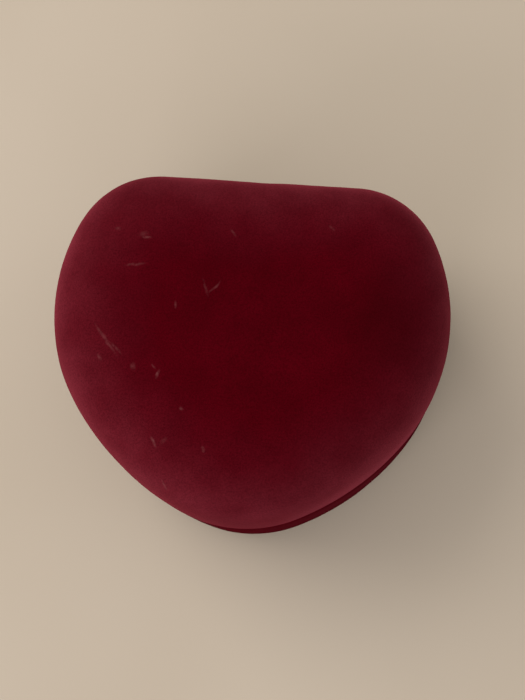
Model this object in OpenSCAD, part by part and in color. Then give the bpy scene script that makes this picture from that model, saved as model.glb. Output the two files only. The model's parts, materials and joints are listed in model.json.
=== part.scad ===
// Hinged ring box: two velvet-covered shells in a soft heart-like outline, a snap hinge,
// a slotted pad for one ring in the base and a satin lining in the lid.
// Frame: +X to the right, +Y to the hinge, +Z up, origin under the middle of the box.

/* [Box] */
// Width across the widest point
box_w = 54; // [50:1:58]
// Height of the closed box
box_h = 36; // [34:1:40]
// Height of the seam between the base and the lid
seam_h = 18.5; // [17:0.5:20]
// Squareness of the lid's shoulders
lid_power = 4; // [3.8:0.1:4.4]
// Squareness of the base's sides
base_power = 6; // [5:0.5:7]

/* [Shells] */
// Thickness of the velvet with its backing
velvet_t = 0.9; // [0.7:0.1:0.9]
// Thickness of the moulded shells
shell_t = 1.6; // [1.4:0.1:1.6]

/* [Ring pad] */
// Height of the pad's top above the table
pad_top = 16.2; // [14:0.2:16.4]
// Width of the slot between the two rolls
slot_w = 1.6; // [1:0.2:3]
// Where the slot runs, measured from the middle of the box to the hinge
slot_y = 0; // [-3:0.5:3]
// Height of the collar above the seam
collar_lip = 2.3; // [1.6:0.1:2.4]

/* [Hinge] */
// Thickness of the hinge leaves and of the spring
leaf_t = 0.35; // [0.3:0.05:0.35]
// Radius of the hinge pin
pin_r = 0.4; // [0.35:0.05:0.4]
// Radius of the rolled knuckles
knuckle_r = 0.75; // [0.7:0.05:0.8]
// Half length of the hinge leaves
leaf_half = 12; // [11:0.1:12.4]

/* [Hidden] */
$fn = 48;

// Which way a half lies from the seam
LID = 1;
BASE = -1;

// Glue film between bonded layers, clearance round fitted parts, and how far a cut runs on
glue = 0.05;
play = 0.03;
past = 1;

// The outline is four tangent arcs a side: tip, flank, side and rear corner,
// closed by a straight rear edge. Radii are in widths of a unit outline.
unit_r = [0.34, 0.69, 0.47, 0.23];
turn = [26, 27, 63, 64];
arc_steps = [6, 5, 9, 10];

function heading(i) = i == 0 ? 0 : heading(i - 1) + turn[i - 1];
function along(angle) = [sin(angle), -cos(angle)];
function unit_centre(i) = i == 0
    ? [0, unit_r[0]]
    : unit_centre(i - 1) + (unit_r[i - 1] - unit_r[i]) * along(heading(i));

size_k = box_w / (2 * (unit_centre(2)[0] + unit_r[2]));
rear_y = size_k * (unit_centre(3)[1] + unit_r[3]) / 2;
function arc_centre(i) = size_k * unit_centre(i) - [0, rear_y];
// Through the wall and its hem the inset is exact all round. Further in, the outline
// shrinks towards the middle as well, so that the corners stay soft.
exact_inset = 3.2;
corner_share = 0.35;
function corner_inset(inset) = min(inset, exact_inset) + corner_share * max(0, inset - exact_inset);
function shrink(inset) = (rear_y - inset) / (rear_y - corner_inset(inset));
function half_outline(inset) = shrink(inset) * [
    for (i = [0:3]) for (j = [(i == 0 ? 0 : 1):arc_steps[i]])
        arc_centre(i) + (size_k * unit_r[i] - corner_inset(inset))
            * along(heading(i) + turn[i] * j / arc_steps[i])
];
function outline(inset) = let (right = half_outline(inset)) concat(
    right, [for (j = [len(right) - 1:-1:1]) [-right[j][0], right[j][1]]]
);

// Layers, as distances inwards from the outer face of the velvet
shell_out = velvet_t + glue;
shell_in = shell_out + shell_t;
hem_out = shell_in + 0.1;
hem_in = hem_out + 0.35;
collar_skin = 0.25;
collar_out = hem_in + 0.3;
card_out = collar_out + collar_skin + glue;
card_in = card_out + 0.55;
collar_in = card_in + glue + collar_skin;
pad_out = collar_in + 0.15;

// The seam: each half's rim is rounded in to it, and the shell's edge under it is bevelled
seam_gap = 0.12;
rim_h = 2.2;
rim_inset = 1;
rim_skin = 0.5;
bevel_h = 1.6;
bevel_foot = 0.1;
bevel_top = 0.45;
hem_h = 4.5;

lid_rise = box_h - seam_h - rim_h;
base_drop = seam_h - rim_h;
function seam_z(side, d) = seam_h + side * d;

// Each half is a stack of levels, [inset, height]. This is the lid's dome at parameter u,
// for the surface a distance t inside the outer face.
function dome(t, u) = [
    t + (rear_y - t) * (1 - pow(cos(u), 2 / lid_power)),
    seam_h + rim_h + (lid_rise - t) * pow(sin(u), 2 / lid_power),
];
// The base's bowl, which ends in a flat foot. The foot's bend is tighter further in.
foot_inset = 6;
foot_tightening = 0.4;
function foot_run(t) = foot_inset - foot_tightening * t;
function bowl(t, u) = [
    t + foot_run(t) * (1 - pow(cos(u), 2 / base_power)),
    seam_h - rim_h - (base_drop - t) * pow(sin(u), 2 / base_power),
];
// The same surface's inset at a height above the table
function bowl_inset(t, z) = let (rise = pow((base_drop - z) / (base_drop - t), base_power))
    t + foot_run(t) * (1 - pow(1 - rise, 1 / base_power));
dome_steps = [0, 6, 13, 21, 30, 40, 51, 62, 72, 80, 85, 88];
bowl_steps = [0, 8, 18, 30, 43, 57, 71, 82, 90];
function reversed(list) = [for (i = [len(list) - 1:-1:0]) list[i]];

// The outer face's rounding, from the widest level to the seam
function rim_round(side) = [
    for (v = [18:18:90])
        [rim_inset * (1 - cos(v)), seam_z(side, rim_h - (rim_h - seam_gap) * sin(v))]
];
// The velvet turned over the shell's edge, from the seam back to the inner face
function turned_edge(side) = [
    [hem_in, seam_z(side, seam_gap)],
    [hem_in, seam_z(side, hem_h)],
    [hem_out, seam_z(side, hem_h)],
    [hem_out, seam_z(side, seam_gap + rim_skin)],
    [velvet_t + bevel_top, seam_z(side, seam_gap + rim_skin)],
    [velvet_t + bevel_foot, seam_z(side, bevel_h)],
];
function shell_edge(side) = [
    [shell_out + bevel_foot, seam_z(side, bevel_h)],
    [shell_out + bevel_top, seam_z(side, seam_gap + rim_skin + glue)],
    [shell_in, seam_z(side, seam_gap + rim_skin + glue)],
];

// A solid through a list of levels, flat at its first and last
module skin(levels) {
    n = len(outline(0));
    last = len(levels) - 1;
    points = [
        for (l = levels) for (p = outline(l[0])) [p[0], p[1], l[1]]
    ];
    sides = [
        for (k = [0:last - 1]) for (i = [0:n - 1]) let (j = (i + 1) % n)
            each [[k * n + i, k * n + n + i, k * n + n + j], [k * n + i, k * n + n + j, k * n + j]]
    ];
    ends = [[for (i = [0:n - 1]) i], [for (i = [n - 1:-1:0]) last * n + i]];
    polyhedron(points = points, faces = concat(sides, ends));
}

// A solid whose section is a closed loop of levels
module ring_skin(levels) {
    n = len(outline(0));
    m = len(levels);
    points = [
        for (l = levels) for (p = outline(l[0])) [p[0], p[1], l[1]]
    ];
    faces = [
        for (k = [0:m - 1]) for (i = [0:n - 1]) let (j = (i + 1) % n, up = (k + 1) % m)
            each [[k * n + i, up * n + i, up * n + j], [k * n + i, up * n + j, k * n + j]]
    ];
    polyhedron(points = points, faces = faces);
}

module plate(inset, z0, z1) {
    translate([0, 0, z0]) linear_extrude(height = z1 - z0) polygon(outline(inset));
}

module band(outer, inner, z0, z1) {
    translate([0, 0, z0]) linear_extrude(height = z1 - z0) difference() {
        polygon(outline(outer));
        polygon(outline(inner));
    }
}

// A box centred across the hinge, between two distances in Y and in Z
module block(half, y0, y1, z0, z1) {
    translate([-half, min(y0, y1), min(z0, z1)]) cube([2 * half, abs(y1 - y0), abs(z1 - z0)]);
}

module rod(r, half) {
    rotate([0, 90, 0]) cylinder(r = r, h = 2 * half, center = true);
}

// Hinge: two leaves inside the rear walls, on a pin that lies in a notch in both rims
axis_y = rear_y - knuckle_r;
leaf_y = rear_y - shell_in - play;
leaf_depth = 7.5;
leaf_clear = 0.4;
leaf_margin = 0.1;
inner_knuckle = [4.9, 8.2];
outer_knuckle = [8.4, leaf_half];
notch_half = leaf_half + 0.75;
notch_depth = 4.5;
notch_h = 1;

bore_r = pin_r + 0.04;
pin_head_r = pin_r + 0.22;
pin_head_t = 0.3;
pin_head_gap = 0.05;

rivet_x = 8.6;
rivet_z = 5.3;
rivet_r = 0.6;
rivet_head_r = 1.05;
rivet_head_t = 0.3;
rivet_tail_y = leaf_y + 1.1;
rivet_pocket_r = rivet_head_r + 0.05;

// The spring is a C of strip with a bead at each end. The two seats are equally far from
// the pin, and the strip bends round in front of it.
seat_y = leaf_y - 0.15;
seat_z = 3.75;
bead_r = 0.42;
bead_half = 4.4;
strip_half = 3.3;
strip_y = seat_y + 0.55;
strip_r = norm([strip_y - seat_y, seat_z]);

// Slots in the leaves, and rooms for the beads in the walls behind them. The upper bead
// slides towards the seam as the lid turns, so its slot and room are longer.
bead_slot_half = bead_half + 0.3;
bead_slot_gap = 0.2;
strip_slot_half = strip_half + 0.4;
bead_room_half = bead_half + 0.4;
bead_room_gap = 0.3;
function slot_slack(side) = side == LID ? 0.95 : 0;
function room_depth(side) = side == LID ? 1.05 : 0.5;
function room_reach(side) = side == LID ? 1.85 : 0.75;

// The window in the collar and in the satin band that the spring comes through
window_half = 4.9;
window_low = 5.6;
window_high = 6;
module spring_window() {
    block(window_half, rear_y - collar_in - past, rear_y,
        seam_z(BASE, window_low), seam_z(LID, window_high));
}

module at_rivets(side) {
    for (x = [-rivet_x, rivet_x])
        translate([x, 0, seam_z(side, rivet_z)]) rotate([-90, 0, 0]) children();
}

module hinge_notch(side, high) {
    block(notch_half, rear_y - notch_depth, rear_y + past, seam_z(side, -past), seam_z(side, high));
}

// What the hinge and its spring need cut out of a shell
module hinge_cuts(side) {
    hinge_notch(side, notch_h + rim_skin);
    block(leaf_half + leaf_margin, leaf_y - past, leaf_y + play,
        seam_z(side, 0), seam_z(side, leaf_depth + leaf_margin));
    block(bead_room_half, leaf_y, leaf_y + room_depth(side),
        seam_z(side, seat_z + bead_r + bead_room_gap), seam_z(side, seat_z - room_reach(side)));
    at_rivets(side) {
        cylinder(r = rivet_r + play, h = rear_y + past);
        translate([0, 0, rivet_tail_y - play]) cylinder(r = rivet_pocket_r, h = rear_y);
    }
}

// The velvet stops at the notch, and its hem is left out behind the leaves
module velvet_cuts(side) {
    hinge_notch(side, notch_h);
    block(notch_half, rear_y - notch_depth, rear_y - shell_in + play,
        seam_z(side, 0), seam_z(side, hem_h + past));
}

module shell_body(side) {
    difference() {
        skin(side == BASE
            ? concat(
                [for (u = reversed(bowl_steps)) bowl(shell_out, u)], shell_edge(BASE),
                [for (u = bowl_steps) bowl(shell_in, u)])
            : concat(
                [for (u = reversed(dome_steps)) dome(shell_in, u)], reversed(shell_edge(LID)),
                [for (u = dome_steps) dome(shell_out, u)]));
        hinge_cuts(side);
    }
}

module base_shell() {
    color("ivory") shell_body(BASE);
}

module lid_shell() {
    color("ivory") shell_body(LID);
}

module base_velvet() {
    color([0.28, 0.01, 0.04]) difference() {
        skin(concat(
            [for (u = reversed(bowl_steps)) bowl(0, u)], rim_round(BASE), turned_edge(BASE),
            [for (u = bowl_steps) bowl(velvet_t, u)]));
        velvet_cuts(BASE);
    }
}

module lid_velvet() {
    color([0.28, 0.01, 0.04]) difference() {
        skin(concat(
            [for (u = reversed(dome_steps)) dome(velvet_t, u)], reversed(turned_edge(LID)),
            reversed(rim_round(LID)), [for (u = dome_steps) dome(0, u)]));
        velvet_cuts(LID);
    }
}

// The collar stands where the bowl begins to turn in, and its lining is turned over its edge
collar_foot = 6;
collar_turn = 2.5;

module collar_card() {
    color("tan") difference() {
        band(card_out, card_in, collar_foot, seam_z(LID, collar_lip - collar_skin - glue));
        spring_window();
    }
}

module collar_lining() {
    lip = seam_z(LID, collar_lip);
    color([0.32, 0.02, 0.05]) difference() {
        union() {
            band(collar_out, collar_out + collar_skin, seam_z(BASE, collar_turn), lip);
            band(collar_out, collar_in, lip - collar_skin, lip);
            band(card_in + glue, collar_in, collar_foot, lip);
        }
        spring_window();
    }
}

// The pad: two rolls of foam in velvet on a card that lies on the shell's floor
pad_card_z = shell_in + 0.1;
pad_card_t = 1;
pad_foot = pad_card_z + pad_card_t + glue;
wrap_t = 0.5;
spring_room = 0.7;
spring_notch_half = 5.2;
spring_notch_y = strip_y - strip_r - leaf_t - spring_room;

module pad_card() {
    edge = bowl_inset(shell_in, pad_card_z) + 3 * glue;
    color("tan") plate(edge, pad_card_z, pad_card_z + pad_card_t);
}

// One side of the slot, a distance inside the pad's outline; the rear side clears the spring
module pad_half(side, inside, z0, z1) {
    slot_face = slot_y + side * (slot_w / 2 + inside);
    difference() {
        intersection() {
            plate(pad_out + inside, z0, z1);
            block(box_w, slot_face, side * box_w, z0 - past, z1 + past);
        }
        if (side > 0)
            block(spring_notch_half + inside, spring_notch_y - inside, rear_y, z0 - past, z1 + past);
    }
}

module pad_foam(side) {
    color("wheat") pad_half(side, wrap_t + glue, pad_foot + glue, pad_top - wrap_t - glue);
}

module pad_wrap(side) {
    color([0.36, 0.02, 0.06]) difference() {
        pad_half(side, 0, pad_foot, pad_top);
        pad_half(side, wrap_t, pad_foot - past, pad_top - wrap_t);
    }
}

module pad_foam_front() {
    pad_foam(-1);
}

module pad_wrap_front() {
    pad_wrap(-1);
}

module pad_foam_rear() {
    pad_foam(1);
}

module pad_wrap_rear() {
    pad_wrap(1);
}

// A knuckle on each side of the middle, with the tongue that joins it to its plate
module knuckles(side, span) {
    for (s = [-1, 1]) translate([s * (span[0] + span[1]) / 2, 0, 0]) {
        half = (span[1] - span[0]) / 2;
        translate([0, axis_y, seam_h]) rod(knuckle_r, half);
        block(half, leaf_y - leaf_t, axis_y, seam_z(side, leaf_clear), seam_z(side, knuckle_r));
    }
}

module hinge_leaf(side, span) {
    slot_gap = bead_r + bead_slot_gap;
    color("silver") difference() {
        union() {
            knuckles(side, span);
            block(leaf_half, leaf_y - leaf_t, leaf_y,
                seam_z(side, leaf_clear), seam_z(side, leaf_depth));
        }
        translate([0, axis_y, seam_h]) rod(bore_r, leaf_half + past);
        block(bead_slot_half, leaf_y - past, leaf_y + past,
            seam_z(side, seat_z + slot_gap), seam_z(side, seat_z - slot_gap - slot_slack(side)));
        block(strip_slot_half, leaf_y - past, leaf_y + past, seam_z(side, seat_z), seam_z(side, 0));
        at_rivets(side) cylinder(r = rivet_r + play, h = rear_y + past);
    }
}

module hinge_leaf_base() {
    hinge_leaf(BASE, outer_knuckle);
}

module hinge_leaf_lid() {
    hinge_leaf(LID, inner_knuckle);
}

module leaf_rivets(side) {
    head_y = leaf_y - leaf_t - rivet_head_t;
    color("silver") at_rivets(side) {
        translate([0, 0, head_y]) cylinder(r = rivet_head_r, h = rivet_head_t);
        translate([0, 0, head_y]) cylinder(r = rivet_r, h = rivet_tail_y - head_y);
        translate([0, 0, rivet_tail_y]) cylinder(r = rivet_head_r, h = rivet_head_t);
    }
}

module base_leaf_rivets() {
    leaf_rivets(BASE);
}

module lid_leaf_rivets() {
    leaf_rivets(LID);
}

module hinge_pin() {
    head_x = leaf_half + pin_head_gap + pin_head_t / 2;
    color("silver") translate([0, axis_y, seam_h]) {
        rod(pin_r, head_x);
        for (x = [-head_x, head_x]) translate([x, 0, 0]) rod(pin_head_r, pin_head_t / 2);
    }
}

module snap_spring() {
    color("lightsteelblue") union() {
        translate([0, strip_y, seam_h]) difference() {
            rod(strip_r + leaf_t / 2, strip_half);
            rod(strip_r - leaf_t / 2, strip_half + past);
            block(strip_half + past, seat_y - strip_y, strip_r + past,
                -strip_r - past, strip_r + past);
        }
        for (side = [BASE, LID]) translate([0, seat_y, seam_z(side, seat_z)]) rod(bead_r, bead_half);
    }
}

// The lid's lining: a satin band round the wall, and a padded panel under the ceiling
lining_t = 0.6;
band_out = hem_in + 0.25;
band_steps = [0.1, 1, 4, 9, 16, 24, 33, 42, 50];
ceiling_drop = 4.6;
ceiling_h = box_h - seam_h - ceiling_drop;
puff_t = 2.3;
satin_t = 0.35;
satin_inset = 8.1;
ceiling_card_t = 0.5;
ceiling_card_inset = satin_inset + 1.2;

module lid_lining_band() {
    function face(t) = [for (u = band_steps) dome(t, u)];
    color("white") difference() {
        ring_skin(concat(face(band_out), reversed(face(band_out + lining_t))));
        spring_window();
    }
}

module lid_pad_card() {
    color("tan")
        plate(ceiling_card_inset, seam_z(LID, ceiling_h), seam_z(LID, ceiling_h + ceiling_card_t));
}

module lid_pad_wadding() {
    low = ceiling_h - puff_t + satin_t + glue;
    color("whitesmoke")
        plate(satin_inset + satin_t + glue, seam_z(LID, low), seam_z(LID, ceiling_h - glue));
}

module lid_pad_satin() {
    color("white") difference() {
        plate(satin_inset, seam_z(LID, ceiling_h - puff_t), seam_z(LID, ceiling_h - play));
        plate(satin_inset + satin_t, seam_z(LID, ceiling_h - puff_t + satin_t),
            seam_z(LID, ceiling_h + past));
    }
}

base_shell();
base_velvet();
collar_card();
collar_lining();
pad_card();
pad_foam_front();
pad_wrap_front();
pad_foam_rear();
pad_wrap_rear();
hinge_leaf_base();
base_leaf_rivets();
hinge_pin();
snap_spring();
lid_shell();
lid_velvet();
lid_lining_band();
lid_pad_card();
lid_pad_wadding();
lid_pad_satin();
hinge_leaf_lid();
lid_leaf_rivets();
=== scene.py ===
import json
import math

import bmesh
import bpy
import numpy as np
from mathutils import Matrix, Vector, noise


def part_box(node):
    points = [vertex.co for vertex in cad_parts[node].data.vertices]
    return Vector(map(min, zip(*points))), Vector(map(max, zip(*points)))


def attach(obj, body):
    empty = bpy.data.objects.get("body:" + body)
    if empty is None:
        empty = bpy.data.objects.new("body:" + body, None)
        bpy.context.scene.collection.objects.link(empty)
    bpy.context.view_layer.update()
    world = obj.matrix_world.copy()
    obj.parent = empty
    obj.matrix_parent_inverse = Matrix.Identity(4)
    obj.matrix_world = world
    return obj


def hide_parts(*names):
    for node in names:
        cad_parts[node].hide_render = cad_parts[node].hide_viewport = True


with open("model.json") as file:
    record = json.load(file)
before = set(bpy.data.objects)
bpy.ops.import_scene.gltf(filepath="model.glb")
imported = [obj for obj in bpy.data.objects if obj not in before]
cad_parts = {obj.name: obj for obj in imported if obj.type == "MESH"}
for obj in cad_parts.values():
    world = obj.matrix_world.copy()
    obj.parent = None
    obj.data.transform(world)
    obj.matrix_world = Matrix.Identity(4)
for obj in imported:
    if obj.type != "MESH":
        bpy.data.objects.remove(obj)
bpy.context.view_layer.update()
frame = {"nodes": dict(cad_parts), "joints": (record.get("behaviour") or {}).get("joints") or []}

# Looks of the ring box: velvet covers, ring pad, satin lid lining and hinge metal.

MM = 0.001
SCENE = bpy.context.scene
NODES = frame["nodes"]

# ---------------------------------------------------------------- sizes, from the frame

LID, BASE = 1, -1
PIN = next(Vector(j["pos_m"]) for j in frame["joints"] if j["name"] == "lid_hinge")
SEAM = PIN.z
BASE_LOW, BASE_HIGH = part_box("base_velvet")
WIDTH = BASE_HIGH.x - BASE_LOW.x
REAR = BASE_HIGH.y
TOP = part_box("lid_velvet")[1].z
FLOOR = BASE_LOW.z

# The outline: tip, flank, side and rear corner, in radii of a unit outline and turns
UNIT_RADII = (0.34, 0.69, 0.47, 0.23)
TURNS = tuple(math.radians(a) for a in (26, 27, 63, 64))
ARC_STEPS = (24, 20, 34, 34)
EDGE_STEPS = 30
EXACT_INSET = 3.2 * MM
CORNER_SHARE = 0.35

# Each half's section, as in the CAD model
GLUE = 0.05 * MM
SHELL_T = 1.6 * MM
RIM_H = 2.2 * MM
RIM_INSET = 1.0 * MM
RIM_SKIN = 0.5 * MM
HEM_H = 4.5 * MM
HEM_T = 0.35 * MM
LID_POWER = 4
BASE_POWER = 6
FOOT_INSET = 6 * MM
FOOT_TIGHTENING = 0.4
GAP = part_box("lid_velvet")[0].z - SEAM
SHELL_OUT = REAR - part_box("base_shell")[1].y
VELVET_T = SHELL_OUT - GLUE
SHELL_IN = SHELL_OUT + SHELL_T
HEM_OUT = SHELL_IN + 2 * GLUE
HEM_IN = HEM_OUT + HEM_T
LID_RISE = TOP - SEAM - RIM_H
BASE_DROP = SEAM - RIM_H
COLLAR_T = 1.15 * MM
COLLAR_SKIN = 0.25 * MM
COLLAR_FOLD_H = 2.4 * MM

# Where the sections are cut, in degrees from the rim, closer together where they bend most
LID_FACE = (89.6, 89, 88, 86.5, 84.5, 82, 79, 75.5, 72, 68, 64, 60, 56, 52, 48, 44, 40, 36,
            32, 28, 24, 20, 16.5, 13, 10, 7.5, 5.2, 3.4, 2, 1, 0.35, 0.06, 0)
LID_BACK = (0, 4, 12, 24, 40, 58, 76, 87)
BASE_FACE = (90, 87, 84, 80, 75, 69, 62, 54, 46, 38, 30, 22, 15, 9, 4, 1, 0.1, 0)
BASE_BACK = (0, 8, 24, 45, 65, 80, 90)
BAND_CUTS = (0.1, 0.5, 1.2, 2.4, 4, 6.5, 9.5, 13, 17, 21, 25, 29, 33, 37, 41, 45, 48, 50)

# The notch in both rims that the hinge lies in, and its soft ends
NOTCH_H = 1.0 * MM
NOTCH_HALF = 11.9 * MM
NOTCH_END = 14.2 * MM
NOTCH_DEPTH = 6 * MM
LIFT_FROM, LIFT_OVER = 0.6 * MM, 3.2 * MM

# The opening at the rear for the spring
WINDOW_HALF = 4.9 * MM
WINDOW_H = 6.3 * MM

# The ring pad's rolls, the slot between them, and the spring that the rear one is notched round
PAD_LOW, PAD_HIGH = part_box("pad_wrap_front")
REAR_LOW, REAR_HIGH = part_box("pad_wrap_rear")
SLOT = (PAD_HIGH.y + REAR_LOW.y) / 2
SLOT_HALF = (REAR_LOW.y - PAD_HIGH.y) / 2
PAD_INSET = REAR - REAR_HIGH.y
SPRING_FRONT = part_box("snap_spring")[0].y


def along(angle):
    return np.array([math.sin(angle), -math.cos(angle)])


def arc_centres():
    centres, heading = [np.array([0.0, UNIT_RADII[0]])], 0.0
    for i in range(1, 4):
        heading += TURNS[i - 1]
        centres.append(centres[-1] + (UNIT_RADII[i - 1] - UNIT_RADII[i]) * along(heading))
    return centres


UNIT_CENTRES = arc_centres()
SIZE_K = WIDTH / (2 * (UNIT_CENTRES[2][0] + UNIT_RADII[2]))
CENTRES = [SIZE_K * c - np.array([0, REAR]) for c in UNIT_CENTRES]


def ring(inset):
    """The outline a distance inside the widest one, counter-clockwise from the tip."""
    corner = min(inset, EXACT_INSET) + CORNER_SHARE * max(0.0, inset - EXACT_INSET)
    right, heading = [], 0.0
    for i, (centre, turn, steps) in enumerate(zip(CENTRES, TURNS, ARC_STEPS)):
        for j in range(0 if i == 0 else 1, steps + 1):
            right.append(centre + (SIZE_K * UNIT_RADII[i] - corner) * along(heading + turn * j / steps))
        heading += turn
    end = right[-1]
    right += [np.array([end[0] * (1 - j / EDGE_STEPS), end[1]]) for j in range(1, EDGE_STEPS + 1)]
    right = np.array(right)
    left = right[-2:0:-1] * np.array([-1, 1])
    return np.vstack([right, left]) * (REAR - inset) / (REAR - corner)


def dome(t, u):
    """[inset, height] on the lid's dome, a distance t inside its outer face, at parameter u."""
    return [t + (REAR - t) * (1 - math.cos(u) ** (2 / LID_POWER)),
            SEAM + RIM_H + (LID_RISE - t) * math.sin(u) ** (2 / LID_POWER)]


def bowl(t, u):
    """[inset, height] on the base's bowl, a distance t inside its outer face, at parameter u."""
    return [t + (FOOT_INSET - FOOT_TIGHTENING * t) * (1 - math.cos(u) ** (2 / BASE_POWER)),
            SEAM - RIM_H - (BASE_DROP - t) * math.sin(u) ** (2 / BASE_POWER)]


def cuts(curve, t, degrees):
    """[inset, height] at each angle of a dome or bowl, a distance t inside its outer face."""
    return [curve(t, math.radians(a)) for a in degrees]


def smooth(x):
    x = np.clip(x, 0, 1)
    return x * x * (3 - 2 * x)


# ---------------------------------------------------------------- mesh building

def make_object(name, vertices, faces):
    mesh = bpy.data.meshes.new(name)
    mesh.from_pydata([tuple(v) for v in vertices], [], faces)
    bm = bmesh.new()
    bm.from_mesh(mesh)
    bmesh.ops.remove_doubles(bm, verts=bm.verts, dist=0.004 * MM)
    bmesh.ops.dissolve_degenerate(bm, edges=bm.edges, dist=0.002 * MM)
    bmesh.ops.recalc_face_normals(bm, faces=bm.faces)
    bm.to_mesh(mesh)
    bm.free()
    mesh.shade_smooth()
    obj = bpy.data.objects.new(name, mesh)
    SCENE.collection.objects.link(obj)
    return obj


def grid_faces(rows, columns, wrap_rows=False, wrap_columns=True):
    faces = []
    for k in range(rows if wrap_rows else rows - 1):
        up = (k + 1) % rows
        for i in range(columns if wrap_columns else columns - 1):
            j = (i + 1) % columns
            faces.append((k * columns + i, k * columns + j, up * columns + j, up * columns + i))
    return faces


def stack(levels):
    """Points of a stack of [inset, height] levels, as an array of rows by columns by 3."""
    rows = []
    for inset, z in levels:
        flat = ring(inset)
        rows.append(np.column_stack([flat, np.full(len(flat), z)]))
    return np.array(rows)


def capped(name, grid):
    """A closed piece from a grid of rings, with a fan at its first and its last."""
    rows, columns = grid.shape[:2]
    points = grid.reshape(-1, 3)
    ends = np.array([grid[0].mean(0), grid[-1].mean(0)])
    faces = grid_faces(rows, columns)
    first, last = rows * columns, rows * columns + 1
    faces += [(first, (i + 1) % columns, i) for i in range(columns)]
    low = (rows - 1) * columns
    faces += [(last, low + i, low + (i + 1) % columns) for i in range(columns)]
    return make_object(name, np.vstack([points, ends]), faces)


def looped(name, grid):
    """A closed piece from a grid of rings whose section is a closed loop."""
    rows, columns = grid.shape[:2]
    return make_object(name, grid.reshape(-1, 3), grid_faces(rows, columns, wrap_rows=True))


def steps(first, last, count):
    return [first + (last - first) * i / (count - 1) for i in range(count)]


def fbm(point, size, octaves=3, seed=0.0):
    """Smooth noise from -1 to 1 that changes over a given size in metres."""
    place = Vector(point) / size + Vector((seed, -seed, 0.5 * seed))
    return noise.fractal(place, 0.8, 2.1, octaves)


# ---------------------------------------------------------------- materials

def new_material(name):
    material = bpy.data.materials.new(name)
    material.use_nodes = True
    tree = material.node_tree
    tree.nodes.clear()
    output = tree.nodes.new("ShaderNodeOutputMaterial")
    shader = tree.nodes.new("ShaderNodeBsdfPrincipled")
    tree.links.new(shader.outputs["BSDF"], output.inputs["Surface"])
    return material, Tree(tree), shader


class Tree:
    """Short ways to add shader nodes."""

    def __init__(self, tree):
        self.tree = tree
        coordinates = tree.nodes.new("ShaderNodeTexCoord")
        self.position = coordinates.outputs["Object"]
        self.normal = coordinates.outputs["Normal"]
        self.direction = coordinates.outputs["Generated"]    # in the world's tree only

    def link(self, source, target):
        self.tree.links.new(source, target)

    def add(self, kind, **settings):
        node = self.tree.nodes.new(kind)
        for key, value in settings.items():
            setattr(node, key, value)
        return node

    def mapped(self, scale=(1, 1, 1), turn=(0, 0, 0), place=(0, 0, 0), kind="POINT", source=None):
        node = self.add("ShaderNodeMapping", vector_type=kind)
        node.inputs["Location"].default_value = place
        node.inputs["Scale"].default_value = scale
        node.inputs["Rotation"].default_value = turn
        self.link(self.position if source is None else source, node.inputs["Vector"])
        return node.outputs["Vector"]

    def vector(self, operation, *values):
        node = self.add("ShaderNodeVectorMath", operation=operation)
        for socket, value in zip(node.inputs, values):
            if isinstance(value, tuple):
                socket.default_value = value
            else:
                self.link(value, socket)
        return node.outputs["Value" if operation in ("LENGTH", "DOT_PRODUCT") else "Vector"]

    def noise(self, size, detail=3, rough=0.5, vector=None, output="Fac"):
        """Noise whose features are about size metres."""
        node = self.add("ShaderNodeTexNoise")
        node.inputs["Scale"].default_value = 1 / size
        node.inputs["Detail"].default_value = detail
        node.inputs["Roughness"].default_value = rough
        self.link(self.position if vector is None else vector, node.inputs["Vector"])
        return node.outputs[output]

    def ramp(self, value, low, high, to_low=0.0, to_high=1.0, kind="SMOOTHSTEP"):
        node = self.add("ShaderNodeMapRange", interpolation_type=kind)
        ends = {"From Min": low, "From Max": high, "To Min": to_low, "To Max": to_high}
        for key, number in ends.items():
            node.inputs[key].default_value = number
        self.link(value, node.inputs["Value"])
        return node.outputs["Result"]

    def math(self, operation, *values):
        node = self.add("ShaderNodeMath", operation=operation)
        for socket, value in zip(node.inputs, values):
            if isinstance(value, (int, float)):
                socket.default_value = value
            else:
                self.link(value, socket)
        return node.outputs[0]

    def mix(self, share, a, b):
        node = self.add("ShaderNodeMix", data_type="RGBA")
        self.link(share, node.inputs["Factor"])
        for socket, value in ((node.inputs[6], a), (node.inputs[7], b)):
            if isinstance(value, tuple):
                socket.default_value = (*value, 1)
            else:
                self.link(value, socket)
        return node.outputs[2]

    def bump(self, height, distance, strength=1.0, below=None):
        node = self.add("ShaderNodeBump")
        node.inputs["Strength"].default_value = strength
        node.inputs["Distance"].default_value = distance
        self.link(height, node.inputs["Height"])
        if below is not None:
            self.link(below, node.inputs["Normal"])
        return node.outputs["Normal"]

    def axis(self, name, vector=None):
        node = self.add("ShaderNodeSeparateXYZ")
        self.link(self.position if vector is None else vector, node.inputs[0])
        return node.outputs[name]


def painted_sheen_share(t):
    """How much painted sheen the lid's shoulders get: more with the slope, sooner on the
    left, where the light falls, than on the right, and little on upright faces."""
    up = t.axis("Z", t.normal)
    level = t.math("SUBTRACT", 1.0, t.math("MULTIPLY", up, up))
    slope = t.math("SQRT", t.math("MAXIMUM", level, 0.0))
    right = t.vector("DOT_PRODUCT", t.normal, (0.84, -0.54, 0.0))
    # the lean paints the shoulders on the left, where the light falls, lighter than those on the right
    light_lean = t.math("MULTIPLY", t.math("SUBTRACT", slope, 1.0), t.math("MULTIPLY", right, 0.42))
    sheen_amount = t.math("MULTIPLY_ADD", slope, 0.69, light_lean)
    sheen_amount = t.ramp(sheen_amount, 0.03, 1.0, kind="LINEAR")
    return t.math("MULTIPLY", sheen_amount, t.ramp(up, 0.0, 0.45, 0.1, 1.0))
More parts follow.
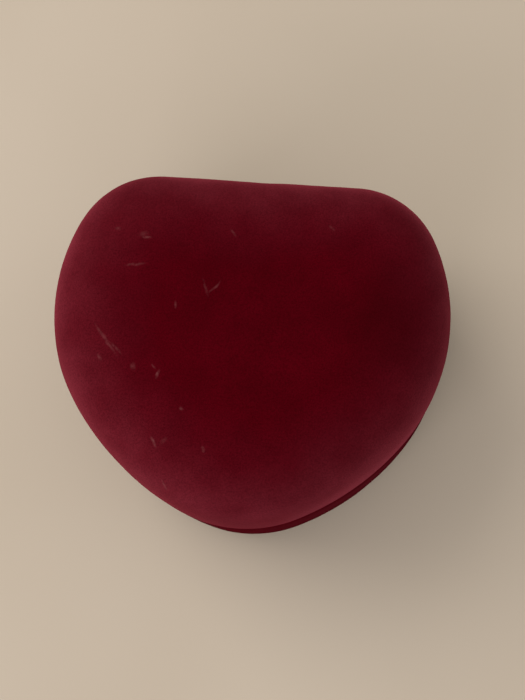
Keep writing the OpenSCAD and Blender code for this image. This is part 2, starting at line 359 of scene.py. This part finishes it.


# Light scuffs on the lid: middle x and y, length and width in millimetres,
# turn in degrees, strength
SCUFFS = (
    (-17.5, -1.8, 7.0, 0.6, -50, 0.5), (-16.0, -2.9, 3.2, 0.5, -42, 0.4),
    (-13.6, 12.0, 1.8, 0.6, 0, 0.7), (-14.1, 12.4, 2.2, 1.0, 20, 0.3),
    (-14.6, 8.2, 3.6, 0.5, 8, 0.5), (-17.7, 13.1, 1.2, 0.6, -20, 0.5),
    (-5.2, 5.7, 3.4, 0.5, -68, 0.3), (-4.0, 5.8, 2.8, 0.5, 48, 0.55),
    (-8.8, 3.1, 1.3, 0.5, -84, 0.6), (-18.0, -4.2, 1.4, 0.6, -60, 0.45),
    (-10.1, -6.0, 1.6, 0.5, 75, 1.0), (-10.7, -5.0, 1.2, 0.4, -50, 0.45),
    (-13.4, -5.2, 1.6, 0.9, -80, 0.4), (-6.7, -10.1, 0.9, 0.6, -48, 0.6),
    (-9.9, -14.4, 1.8, 0.6, -62, 1.0), (-8.6, -14.2, 1.6, 0.8, 60, 0.3),
    (-3.5, -14.9, 1.0, 0.6, -70, 0.55), (-8.4, -19.4, 1.9, 0.45, -62, 0.8),
    (-2.4, 13.3, 1.6, 0.5, -49, 0.5), (10.3, 14.9, 1.5, 0.5, -43, 0.35))


def scuff_share(t):
    """How much of the light marks that wear has left on the lid shows."""
    wander = 0.5 * MM
    bend = t.vector("MULTIPLY_ADD", t.noise(0.9 * MM, 2, 0.5, output="Color"), (wander,) * 3, t.position)
    share = 0.0
    for x, y, length, width, turn, strength in SCUFFS:
        middle = (x * MM + wander / 2, y * MM + wander / 2, 0)
        half = (length * MM / 2, width * MM / 2, 1.0)
        mark = t.mapped(half, (0, 0, math.radians(turn)), middle, "TEXTURE", bend)
        lit = t.ramp(t.vector("LENGTH", mark), 1.0, 0.1, 0.0, strength)
        share = t.math("MAXIMUM", lit, share)
    return t.math("MULTIPLY", share, t.ramp(t.noise(0.45 * MM, 2, 0.6), 0.3, 0.65, 0.3, 1.0))


# Painted shade on the lid's right, the side away from the light: the patch's middle and its half sizes
SHADE_PATCH_AT = (18.5 * MM, 3.5 * MM, 0)
SHADE_PATCH_HALF = (7.5 * MM, 11 * MM, 1.0)


def velvet(name, deep, sheen, sheen_colour=None, scuffs_and_shade=False):
    """Short pile, dark face on and pink at a glance, with faint patches of nap.

    The optional colour after the sheen weight is painted sheen, laid on the sloping shoulders; the last
    flag adds the lid's wear and a patch of painted shade on its right."""
    material, t, shader = new_material(name)
    patches = t.ramp(t.noise(6 * MM, 4, 0.55), 0.3, 0.75)
    pile = t.noise(0.22 * MM, 3, 0.7)
    colour = t.mix(patches, deep, tuple(1.25 * d for d in deep))
    if sheen_colour:
        mottle = t.ramp(t.noise(5 * MM, 3, 0.5), 0.3, 0.7, 0.825, 1.375)
        # painted sheen: the shoulders' colour lightened by slope, as if lit at a glance
        colour = t.mix(t.math("MULTIPLY", painted_sheen_share(t), mottle), colour, sheen_colour)
    colour = t.mix(t.ramp(pile, 0.3, 0.75, 0.0, 0.5), colour, tuple(0.3 * d for d in deep))
    if scuffs_and_shade:
        # painted shade: a dark patch on the lid's right, away from the light
        patch = t.mapped(SHADE_PATCH_HALF, place=SHADE_PATCH_AT, kind="TEXTURE")
        shade = t.ramp(t.vector("LENGTH", patch), 1.0, 0.2, 0.0, 0.45)
        colour = t.mix(shade, colour, tuple(0.5 * d for d in deep))
        colour = t.mix(t.math("MULTIPLY", scuff_share(t), 0.55), colour, (0.17, 0.055, 0.06))
    t.link(colour, shader.inputs["Base Color"])
    nap = t.bump(t.noise(1.6 * MM, 3, 0.6), 0.04 * MM, 0.5)
    t.link(t.bump(pile, 0.05 * MM, 0.8, nap), shader.inputs["Normal"])
    shader.inputs["Roughness"].default_value = 1.0
    shader.inputs["Specular IOR Level"].default_value = 0.0
    shader.inputs["Sheen Weight"].default_value = sheen
    shader.inputs["Sheen Roughness"].default_value = 0.4
    shader.inputs["Sheen Tint"].default_value = (1.0, 0.18, 0.26, 1)
    return material


def satin(name):
    """Ivory satin: fine weft lines and a soft band of gloss across them."""
    material, t, shader = new_material(name)
    weft = t.noise(0.16 * MM, 2, 0.5, t.mapped((0.12, 1, 1)))
    slubs = t.ramp(t.noise(2.2 * MM, 3, 0.5, t.mapped((0.2, 1, 1))), 0.5, 0.8)
    colour = t.mix(t.ramp(weft, 0.3, 0.7), (0.80, 0.75, 0.66), (0.88, 0.84, 0.76))
    colour = t.mix(t.math("MULTIPLY", slubs, 0.25), colour, (0.70, 0.64, 0.54))
    t.link(colour, shader.inputs["Base Color"])
    t.link(t.bump(weft, 0.02 * MM, 0.6), shader.inputs["Normal"])
    t.link(t.ramp(slubs, 0.0, 1.0, 0.34, 0.46), shader.inputs["Roughness"])
    shader.inputs["Specular IOR Level"].default_value = 0.5
    shader.inputs["Anisotropic"].default_value = 0.5
    shader.inputs["Sheen Weight"].default_value = 0.25
    shader.inputs["Sheen Roughness"].default_value = 0.3
    return material


def metal(name, colour, roughness, tarnish):
    """Plated or blued sheet metal, with drawn lines, fingerprints and dull spots."""
    material, t, shader = new_material(name)
    lines = t.noise(0.12 * MM, 3, 0.6, t.mapped((0.06, 1, 1)))
    dull = t.ramp(t.noise(1.5 * MM, 4, 0.6), 0.5, 0.75)
    t.link(t.mix(t.math("MULTIPLY", dull, 0.6), colour, tarnish), shader.inputs["Base Color"])
    spread = t.math("ADD", t.ramp(lines, 0.3, 0.7, roughness - 0.07, roughness + 0.08),
                    t.math("MULTIPLY", dull, 0.18))
    t.link(spread, shader.inputs["Roughness"])
    t.link(t.bump(lines, 0.008 * MM, 0.5), shader.inputs["Normal"])
    shader.inputs["Metallic"].default_value = 1.0
    return material


def plastic(name):
    """Moulded shell: matt cream with flow marks and fine grain."""
    material, t, shader = new_material(name)
    flow = t.ramp(t.noise(6 * MM, 3, 0.5, t.mapped((1, 1, 0.4))), 0.35, 0.7)
    grain = t.noise(0.3 * MM, 3, 0.6)
    t.link(t.mix(flow, (0.60, 0.53, 0.42), (0.68, 0.62, 0.51)), shader.inputs["Base Color"])
    t.link(t.bump(grain, 0.02 * MM, 0.5), shader.inputs["Normal"])
    t.link(t.ramp(grain, 0.3, 0.7, 0.42, 0.58), shader.inputs["Roughness"])
    return material


def board(name):
    """Grey pressed board: flecks and matted fibres."""
    material, t, shader = new_material(name)
    fibres = t.noise(0.5 * MM, 5, 0.7, t.mapped((0.3, 1, 1), (0, 0, 0.4)))
    flecks = t.ramp(t.noise(0.35 * MM, 2, 0.5), 0.64, 0.72)
    colour = t.mix(t.ramp(fibres, 0.3, 0.7), (0.26, 0.21, 0.155), (0.40, 0.335, 0.26))
    colour = t.mix(t.math("MULTIPLY", flecks, 0.7), colour, (0.12, 0.09, 0.07))
    t.link(colour, shader.inputs["Base Color"])
    t.link(t.bump(fibres, 0.04 * MM, 0.7), shader.inputs["Normal"])
    shader.inputs["Roughness"].default_value = 0.9
    return material


def floor_paint(name):
    """Plain pale table top, very slightly mottled."""
    material, t, shader = new_material(name)
    cloud = t.ramp(t.noise(60 * MM, 2, 0.4), 0.3, 0.7)
    t.link(t.mix(cloud, (0.44, 0.385, 0.315), (0.465, 0.41, 0.34)), shader.inputs["Base Color"])
    shader.inputs["Roughness"].default_value = 0.7
    shader.inputs["Specular IOR Level"].default_value = 0.2
    return material


# The lid's velvet, with painted sheen on its shoulders, its wear and a patch of painted shade
WINE = velvet("wine_velvet", (0.054, 0.0003, 0.0028), 0.24, (0.147, 0.0155, 0.0264), scuffs_and_shade=True)
# A shaded copy of the lid's velvet for the base: far less sheen and no painted shoulder sheen, so its
# wall reads dark as if in the lid's shade
WINE_SHADED = velvet("wine_velvet_base_shaded", (0.0585, 0.0012, 0.0040), 0.035)
LINING = velvet("lining_velvet", (0.072, 0.0008, 0.005), 0.3)
SATIN = satin("white_satin")
NICKEL = metal("plated_steel", (0.66, 0.63, 0.57), 0.3, (0.42, 0.37, 0.29))
BLUED = metal("spring_steel", (0.34, 0.36, 0.40), 0.34, (0.20, 0.15, 0.12))
PLASTIC = plastic("moulded_plastic")
BOARD = board("greyboard")


def finish_with(obj, material):
    obj.data.materials.clear()
    obj.data.materials.append(material)


# ---------------------------------------------------------------- velvet covers

def cover_levels(side):
    """The section of one cover, from the middle of its outer face round the rim to its inner face."""
    def seam(inset, d):
        return [inset, SEAM + side * d]

    if side == LID:
        outer, inner = cuts(dome, 0, LID_FACE), cuts(dome, VELVET_T, LID_BACK)
    else:
        foot = [[x, FLOOR] for x in (REAR * 0.8, REAR * 0.5, FOOT_INSET + 2 * MM)]
        outer, inner = foot + cuts(bowl, 0, BASE_FACE), cuts(bowl, VELVET_T, BASE_BACK)
    rim = [seam(RIM_INSET * (1 - math.cos(v)), RIM_H - (RIM_H - GAP) * math.sin(v))
           for v in steps(0, math.pi / 2, 14)[1:]]
    fold, cut_end = 0.35 * MM, 0.2 * MM
    turn_in = [seam(HEM_IN - fold + fold * math.sin(v), GAP + fold - fold * math.cos(v))
               for v in steps(0, math.pi / 2, 6)]
    hem = [seam(HEM_IN, d) for d in steps(GAP + 2 * fold, HEM_H - cut_end, 8)]
    hem += [seam(HEM_IN - 0.06 * MM, HEM_H), seam(HEM_OUT + 0.04 * MM, HEM_H),
            seam(HEM_OUT, HEM_H - cut_end)]
    under = [seam(HEM_OUT, GAP + RIM_SKIN), seam(VELVET_T + 0.45 * MM, GAP + RIM_SKIN),
             seam(VELVET_T + 0.1 * MM, 1.6 * MM)]
    flat = [seam(x, GAP) for x in steps(RIM_INSET, HEM_IN - fold, 6)[1:-1]]
    return outer + rim + flat + turn_in + hem + under + inner, len(outer) + len(rim)


def hinge_share(points):
    """1 in the hinge's notch at the rear, fading to 0 at its soft ends."""
    across = 1 - smooth((np.abs(points[..., 0]) - NOTCH_HALF) / (NOTCH_END - NOTCH_HALF))
    return across * (points[..., 1] > REAR - NOTCH_DEPTH)


def velvet_cover(side):
    """One half's cover, turned in over the rim, lifted over the hinge and slightly uneven."""
    levels, outer_rows = cover_levels(side)
    grid = stack(levels)
    share = hinge_share(grid)
    depth = side * (grid[..., 2] - SEAM)
    inset = REAR - grid[..., 1]
    hemmed = (inset > SHELL_IN) * (depth < HEM_H + MM) * share
    lift = (NOTCH_H - GAP) * share * (1 - smooth((depth - LIFT_FROM) / LIFT_OVER))
    low_edge = GAP + RIM_SKIN
    depth = depth * (1 - hemmed) + np.minimum(depth, low_edge) * hemmed + lift
    grid[..., 1] += hemmed * (inset - SHELL_IN + 0.02 * MM)
    grid[..., 2] = SEAM + side * depth
    unevenness(grid[:outer_rows], depth[:outer_rows], side)
    return capped("lid_velvet_cover" if side == LID else "base_velvet_cover", grid)


def unevenness(rows, depth, side):
    """Moves the outer face by up to 0.1 mm, and presses a faint dent into the lid's rear."""
    broad, fine = (0.09 * MM, 13 * MM, 3.0 * side), (0.025 * MM, 3.5 * MM, 7.0)
    sink = 0.02 * MM
    flat_foot = rows[..., 2] < FLOOR + 0.3 * MM
    hold = smooth((depth - 1.2 * MM) / (5 * MM)) * (1 - flat_foot)
    for k, i in zip(*np.nonzero(hold > 0)):
        p = rows[k, i]
        swell = sum(height * fbm(p, size, 2, seed) for height, size, seed in (broad, fine))
        out = np.array([p[0], p[1], 1.2 * (p[2] - SEAM)])
        rows[k, i] = p - out / np.linalg.norm(out) * hold[k, i] * (sink - swell)
    if side == LID:
        middle, half, deep = 0.6 * MM, 1.9 * MM, 0.13 * MM
        dent = np.exp(-((rows[..., 0] - middle) / half) ** 2)
        dent *= smooth((rows[..., 1] - REAR + 9 * MM) / (8 * MM))
        dent *= smooth((depth - 2 * MM) / (6 * MM))
        rows[..., 2] -= deep * dent


# ---------------------------------------------------------------- padded pieces

SIM_SCALE = 15        # the cloth simulation runs at this scale, where its forces behave
PAD_VOXEL = 0.8 * MM


def inside_polygon(points, polygon):
    x, y = points[:, 0:1], points[:, 1:2]
    x0, y0 = polygon[:, 0], polygon[:, 1]
    x1, y1 = np.roll(x0, -1), np.roll(y0, -1)
    crosses = ((y0 > y) != (y1 > y)) & (x < (x1 - x0) * (y - y0) / (y1 - y0 + 1e-12) + x0)
    return crosses.sum(1) % 2 == 1


def edge_distance(points, polygon):
    """Distance from each point to the polygon's edge, in plan."""
    a, b = polygon, np.roll(polygon, -1, 0)
    ab = b - a
    best = np.full(len(points), 1e9)
    for start, way in zip(a, ab):
        t = np.clip(((points - start) @ way) / (way @ way + 1e-18), 0, 1)
        best = np.minimum(best, np.linalg.norm(points - start - t[:, None] * way, axis=1))
    return best


def prism(name, polygon, low, high):
    count = len(polygon)
    points = [(x, y, low) for x, y in polygon] + [(x, y, high) for x, y in polygon]
    faces = [tuple(range(count - 1, -1, -1)), tuple(range(count, 2 * count))]
    faces += [(i, (i + 1) % count, count + (i + 1) % count, count + i) for i in range(count)]
    return make_object(name, points, faces)


def apply_modifiers(obj):
    bpy.context.view_layer.update()
    mesh = bpy.data.meshes.new_from_object(obj.evaluated_get(bpy.context.evaluated_depsgraph_get()))
    obj.modifiers.clear()
    obj.data = mesh


def read_points(obj):
    points = np.empty(len(obj.data.vertices) * 3)
    obj.data.vertices.foreach_get("co", points)
    return points.reshape(-1, 3)


def write_points(obj, points):
    obj.data.vertices.foreach_set("co", np.asarray(points, float).ravel())
    obj.data.update()


def puff(obj, held, frames=20, pressure=4.0):
    """Swells a closed piece with cloth under pressure; held points stay where they are."""
    group = obj.vertex_groups.new(name="held")
    group.add([int(i) for i in np.nonzero(held)[0]], 1.0, "REPLACE")
    cloth = obj.modifiers.new("puff", "CLOTH")
    settings = cloth.settings
    settings.quality = 6
    settings.mass = 0.3
    settings.tension_stiffness = settings.compression_stiffness = 20
    settings.shear_stiffness = 10
    settings.bending_stiffness = 1.0
    settings.use_pressure = True
    settings.uniform_pressure_force = pressure
    settings.vertex_group_mass = "held"
    settings.effector_weights.gravity = 0
    cloth.collision_settings.use_self_collision = False
    for frame_number in range(1, frames + 1):
        SCENE.frame_set(frame_number)
    apply_modifiers(obj)
    SCENE.frame_set(1)


def cushion(name, polygon, low, high, way, swell, soften=8):
    """A stuffed piece on a flat back. way is 1 if it swells up and -1 if it swells down."""
    obj = prism(name, polygon * SIM_SCALE, low * SIM_SCALE, high * SIM_SCALE)
    remesh = obj.modifiers.new("remesh", "REMESH")
    remesh.mode = "VOXEL"
    remesh.voxel_size = PAD_VOXEL * SIM_SCALE
    apply_modifiers(obj)
    back = (low if way > 0 else high) * SIM_SCALE
    held = np.abs(read_points(obj)[:, 2] - back) < 0.6 * PAD_VOXEL * SIM_SCALE
    soft = obj.modifiers.new("soften", "SMOOTH")
    soft.factor = 0.5
    soft.iterations = soften
    before = read_points(obj)
    apply_modifiers(obj)
    start = read_points(obj)
    start[held] = before[held]
    write_points(obj, start)
    puff(obj, held)
    moved = read_points(obj) - start
    length = np.linalg.norm(moved, axis=1, keepdims=True)
    cap = swell * SIM_SCALE
    write_points(obj, start + moved * np.minimum(1, cap / np.maximum(length, 1e-9)))
    write_points(obj, read_points(obj) / SIM_SCALE)
    obj.data.shade_smooth()
    return obj


def subdivide(obj):
    modifier = obj.modifiers.new("subdivision", "SUBSURF")
    modifier.levels = modifier.render_levels = 1
    apply_modifiers(obj)
    obj.data.shade_smooth()


def roll_outline(side, shrink):
    """The plan of one roll of the ring pad; the rear one is notched round the spring."""
    edge = SLOT + side * (SLOT_HALF + shrink)
    points = ring(PAD_INSET + shrink)
    near_edge = np.abs(points[:, 1] - edge) < 1.5 * MM
    half = np.abs(points[near_edge, 0]).max()
    kept = points[(points[:, 1] - edge) * side > 0]
    kept = kept[np.argsort(np.arctan2(-side * kept[:, 0], side * kept[:, 1]))]
    outline = np.vstack([[[side * half, edge]], kept, [[-side * half, edge]]])
    if side < 0:
        return outline
    notch = WINDOW_HALF + shrink
    front = SPRING_FRONT - 0.6 * MM - shrink
    rear = outline[:, 1].max()
    corner, bevel = 0.7 * MM, 0.21 * MM
    in_notch = (np.abs(outline[:, 0]) < notch + 0.4 * MM) & (outline[:, 1] > front)
    body = outline[~in_notch]
    split = int(np.argmax(body[:, 0] < 0))
    cut = np.array([[notch, rear], [notch, front + corner], [notch - bevel, front + bevel],
                    [notch - corner, front]])
    return np.vstack([body[:split], cut, cut[::-1] * (-1, 1), body[split:]])


def depth_inside(points, outline):
    """How far each point is inside the outline in plan, and 0 outside it."""
    flat = points[:, :2]
    return edge_distance(flat, outline) * inside_polygon(flat, outline)


def ring_pad(side):
    """One velvet roll: crowned, rounded over at the slot and swollen a little."""
    crown, crown_reach = 1.0 * MM, 7 * MM
    drop, drop_reach = 0.9 * MM, 2.4 * MM
    ripple, ripple_size = 0.14 * MM, 6 * MM
    name = "ring_pad_front" if side < 0 else "ring_pad_rear"
    outline = roll_outline(side, 0.45 * MM)
    low, high = PAD_LOW.z, PAD_HIGH.z
    pad = cushion(name, outline, low, high, 1, 0.5 * MM)
    points = read_points(pad)
    inside = depth_inside(points, outline)
    rise = smooth((points[:, 2] - low) / (high - low))
    shape = crown * smooth(inside / crown_reach) - drop * (1 - smooth(inside / drop_reach))
    points[:, 2] += rise * shape
    for i, p in enumerate(points):
        points[i, 2] += rise[i] * ripple * fbm(p, ripple_size, 2, 5.0 + side)
    write_points(pad, points)
    subdivide(pad)
    return pad


def ceiling_pad():
    """The puffed satin panel in the lid, with gathers round its edge."""
    crown, crown_reach = 1.3 * MM, 11 * MM
    gathers, gather_h, gather_reach = 38, 0.34 * MM, 3.4 * MM
    ripple, ripple_size = 0.2 * MM, 7 * MM
    low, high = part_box("lid_pad_satin")
    outline = ring(REAR - high.y - 0.55 * MM)[::2]
    pad = cushion("lid_satin_pad", outline, low.z + 0.7 * MM, high.z, -1, 1.0 * MM, soften=16)
    points = read_points(pad)
    inside = depth_inside(points, outline)
    hang = smooth((high.z - points[:, 2]) / (high.z - low.z))
    angle = np.arctan2(points[:, 1], points[:, 0])
    points[:, 2] -= hang * crown * smooth(inside / crown_reach)
    for i, p in enumerate(points):
        wander = 11.0 * fbm((p[0], p[1], 0), 9 * MM, 2, 11.0)
        gather = math.sin(gathers * angle[i] + wander) * math.exp(-inside[i] / gather_reach)
        points[i, 2] += hang[i] * (gather_h * gather + ripple * fbm(p, ripple_size, 2, 2.0))
    write_points(pad, points)
    subdivide(pad)
    return pad


# ---------------------------------------------------------------- linings

def raised(grid, share, height):
    """The same columns, with those whose share is 1 starting at a height instead of the first row."""
    rows = np.arange(len(grid))
    first = np.interp(height, grid[:, 0, 2], rows)
    out = np.empty_like(grid)
    for i, part in enumerate(share):
        at = first * part + (rows[-1] - first * part) * rows / rows[-1]
        out[:, i] = np.column_stack([np.interp(at, rows, grid[:, i, k]) for k in range(3)])
    return out


def satin_band():
    """Satin gathered round the lid's wall, tucked behind the hem below and the panel above."""
    thick, fold_pitch = 0.6 * MM, 2.1 * MM
    back = HEM_IN + 0.25 * MM
    outer = stack(cuts(dome, back, BAND_CUTS))
    inner = stack(cuts(dome, back + thick, BAND_CUTS))
    window = 1 - smooth((np.abs(inner[0, :, 0]) - WINDOW_HALF - 0.2 * MM) / (0.9 * MM))
    window *= inner[0, :, 1] > REAR - 8 * MM
    outer = raised(outer, window, SEAM + WINDOW_H)
    inner = raised(inner, window, SEAM + WINDOW_H)
    length = np.cumsum(np.linalg.norm(np.diff(inner[0], axis=0, append=inner[0][:1]), axis=1))
    for k, row in enumerate(inner):
        way = k / (len(inner) - 1)
        body = math.sin(math.pi * min(1, 0.12 + 0.9 * way)) ** 0.6
        for p, s in zip(row, length):
            wander = fbm((s, 0.0, way * 6 * MM), 9 * MM, 2, 4.0)
            height = 0.3 + 0.14 * fbm((s, way * 4 * MM, 0.0), 5 * MM, 2, 8.0)
            fold = math.sin(2 * math.pi * s / fold_pitch + 3.5 * wander)
            out = p[:2] / np.linalg.norm(p[:2])
            p[:2] += out * (height * fold + 0.1 * wander) * body * MM
    return looped("lid_satin_band", np.concatenate([outer, inner[::-1]]))


def collar_lining():
    """Velvet folded over the collar's edge, open at the rear for the spring."""
    low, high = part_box("collar_lining")
    outer = REAR - high.y
    skin, thick = COLLAR_SKIN, COLLAR_T
    lip_r = thick / 2
    foot = SEAM - COLLAR_FOLD_H
    section = [[outer, z] for z in steps(foot, high.z - lip_r, 7)]
    section += [[outer + lip_r - lip_r * math.cos(v), high.z - lip_r + lip_r * math.sin(v)]
                for v in steps(0, math.pi, 12)[1:-1]]
    section += [[outer + thick, z] for z in steps(high.z - lip_r, low.z, 14)]
    section += [[outer + thick - skin, low.z], [outer + thick - skin, high.z - skin]]
    section += [[outer + skin, high.z - skin], [outer + skin, foot]]
    grid = stack(section)
    grid = np.roll(grid, -(len(grid[0]) // 2), axis=1)
    in_window = (np.abs(grid[0, :, 0]) < WINDOW_HALF) & (grid[0, :, 1] > 0)
    grid = grid[:, ~in_window]
    for row in grid:
        for p in row:
            p[2] += 0.05 * MM * fbm(p, 5 * MM, 2, 9.0) * (p[2] > SEAM)
    rows, columns = grid.shape[:2]
    faces = grid_faces(rows, columns, wrap_rows=True, wrap_columns=False)
    faces.append(tuple(k * columns for k in range(rows)))
    faces.append(tuple(k * columns + columns - 1 for k in range(rows - 1, -1, -1)))
    return make_object("collar_velvet", grid.reshape(-1, 3), faces)


# ---------------------------------------------------------------- the object

def place(obj, body, slot, material, nodes, fill=None):
    finish_with(obj, material)
    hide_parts(*nodes)
    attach(obj, body)
    return obj


place(velvet_cover(LID), "lid", "wine_velvet", WINE, ["lid_velvet"])
place(velvet_cover(BASE), "base", "wine_velvet", WINE_SHADED, ["base_velvet"])
place(ring_pad(-1), "base", "lining_velvet", LINING, ["pad_wrap_front", "pad_foam_front"], 0.8)
place(ring_pad(1), "base", "lining_velvet", LINING, ["pad_wrap_rear", "pad_foam_rear"], 0.8)
place(collar_lining(), "base", "lining_velvet", LINING, ["collar_lining"])
band = place(satin_band(), "lid", "white_satin", SATIN, ["lid_lining_band"])
place(ceiling_pad(), "lid", "white_satin", SATIN, ["lid_pad_satin", "lid_pad_wadding"], 0.7)

for material, slot, node_names in (
        (NICKEL, "plated_steel", ("hinge_leaf_base", "hinge_leaf_lid", "base_leaf_rivets",
                                  "lid_leaf_rivets", "hinge_pin")),
        (BLUED, "spring_steel", ("snap_spring",)),
        (PLASTIC, "moulded_plastic", ("base_shell", "lid_shell")),
        (BOARD, "greyboard", ("collar_card", "pad_card", "lid_pad_card"))):
    for node_name in node_names:
        finish_with(NODES[node_name], material)


# ---------------------------------------------------------------- stage, light and camera

FLOOR_SIZE = 6
LENS = 55.66
CAMERA_AT = Vector((13.67, -30.72, 168.3)) * MM
CAMERA_AIM = Vector((1.38, 1.87, 18.5)) * MM
CAMERA_ROLL = 0.09


def add_floor():
    bpy.ops.mesh.primitive_plane_add(size=FLOOR_SIZE, location=(0, 0, FLOOR))
    floor = bpy.context.object
    floor.name = "floor"
    floor.data.materials.append(floor_paint("table_paint"))


def add_light(name, place_at, size, watts, colour):
    data = bpy.data.lights.new(name, "AREA")
    data.size = size
    data.energy = watts
    data.color = colour
    light = bpy.data.objects.new(name, data)
    light.location = place_at
    light.rotation_euler = Vector(place_at).to_track_quat("Z", "Y").to_euler()
    SCENE.collection.objects.link(light)


def add_world():
    world = bpy.data.worlds.new("studio")
    world.use_nodes = True
    background = world.node_tree.nodes["Background"]
    background.inputs["Color"].default_value = (1.0, 0.94, 0.88, 1)
    t = Tree(world.node_tree)
    height = t.axis("Z", t.direction)
    t.link(t.ramp(height, -0.1, 0.9, 0.35, 0.82), background.inputs["Strength"])
    SCENE.world = world


def add_camera():
    data = bpy.data.cameras.new("camera")
    data.lens = LENS
    data.sensor_width = 36
    data.clip_start, data.clip_end = 0.01, 10
    camera = bpy.data.objects.new("camera", data)
    camera.location = CAMERA_AT
    back = (CAMERA_AT - CAMERA_AIM).normalized()
    up = Vector((-math.sin(CAMERA_ROLL), math.cos(CAMERA_ROLL), 0))
    right = up.cross(back).normalized()
    turn = np.column_stack([right, back.cross(right), back])
    camera.rotation_mode = "QUATERNION"
    camera.rotation_quaternion = Matrix(turn.tolist()).to_quaternion()
    SCENE.collection.objects.link(camera)
    SCENE.camera = camera


add_floor()
add_world()
add_light("window", (-0.72, 0.36, 0.72), 0.90, 8.1, (1.0, 0.93, 0.85))
add_light("fill", (-0.48, -0.90, 0.42), 0.72, 6.1, (0.96, 0.91, 0.92))
add_camera()
SCENE.view_settings.view_transform = "Standard"
